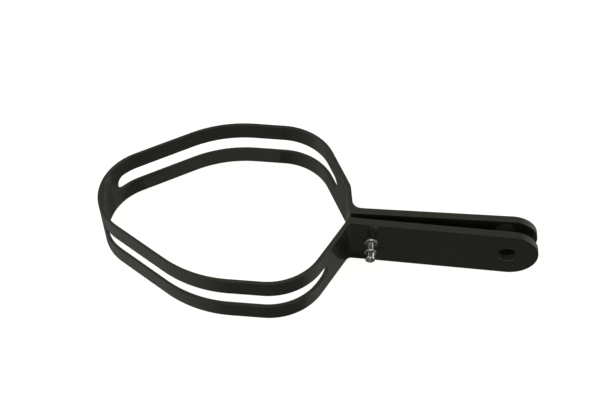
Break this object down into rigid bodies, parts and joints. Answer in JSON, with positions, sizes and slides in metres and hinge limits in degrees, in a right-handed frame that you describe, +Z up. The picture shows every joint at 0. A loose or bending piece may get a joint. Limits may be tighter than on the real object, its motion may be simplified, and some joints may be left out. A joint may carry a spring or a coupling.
{
  "type": "silencer hanger clamp",
  "caption": "Hexagonal strap clamp for a motorcycle silencer: slotted moulded loop, two flat hanger tabs with round ends, and a small pinch screw with washers and lock nut at the neck.",
  "frame": {"origin": "centre of the footprint, on the surface that the clamp lies on (lower edge of the strap)", "axes": "+X from the loop's closed end toward the tab ends, +Y toward the rear half (the side of the lock nut; the screw head is at -Y), +Z up across the strap's width"},
  "size_m": [0.2356, 0.1106, 0.03],
  "materials": {
    "strap": "gloss black, clear-coated composite",
    "steel": "bright stainless steel",
    "nylon": "translucent nylon"
  },
  "bodies": {
    "rear_half": {"strap_rear_half": "strap", "rear_bush": "steel", "lock_nut": "steel", "nut_nylon_ring": "nylon"},
    "front_half": {"strap_front_half": "strap", "front_bush": "steel"},
    "washer_stack": {"screw_washer": "steel", "spring_washer": "steel"},
    "screw": {"pinch_screw": "steel"}
  },
  "joints": [
    {"name": "strap_flex", "type": "hinge", "parent": "rear_half", "child": "front_half", "pos_m": [-0.11689, 0, 0.015], "axis": [0, 0, 1], "range_deg": [0, 1], "stiffness_Nm_per_rad": 100},
    {"name": "screw_travel", "type": "slide", "parent": "rear_half", "child": "washer_stack", "axis": [0, 1, 0], "range_m": [-0.004, 0.0055]},
    {"name": "screw_turn", "type": "hinge", "parent": "washer_stack", "child": "screw", "pos_m": [0.02999, -0.021, 0.015], "axis": [0, 1, 0], "range_deg": [-2881, 3961]}
  ],
  "couplings": [
    {"joint": "screw_turn", "follows": "screw_travel", "rad_per_m": 12566}
  ]
}
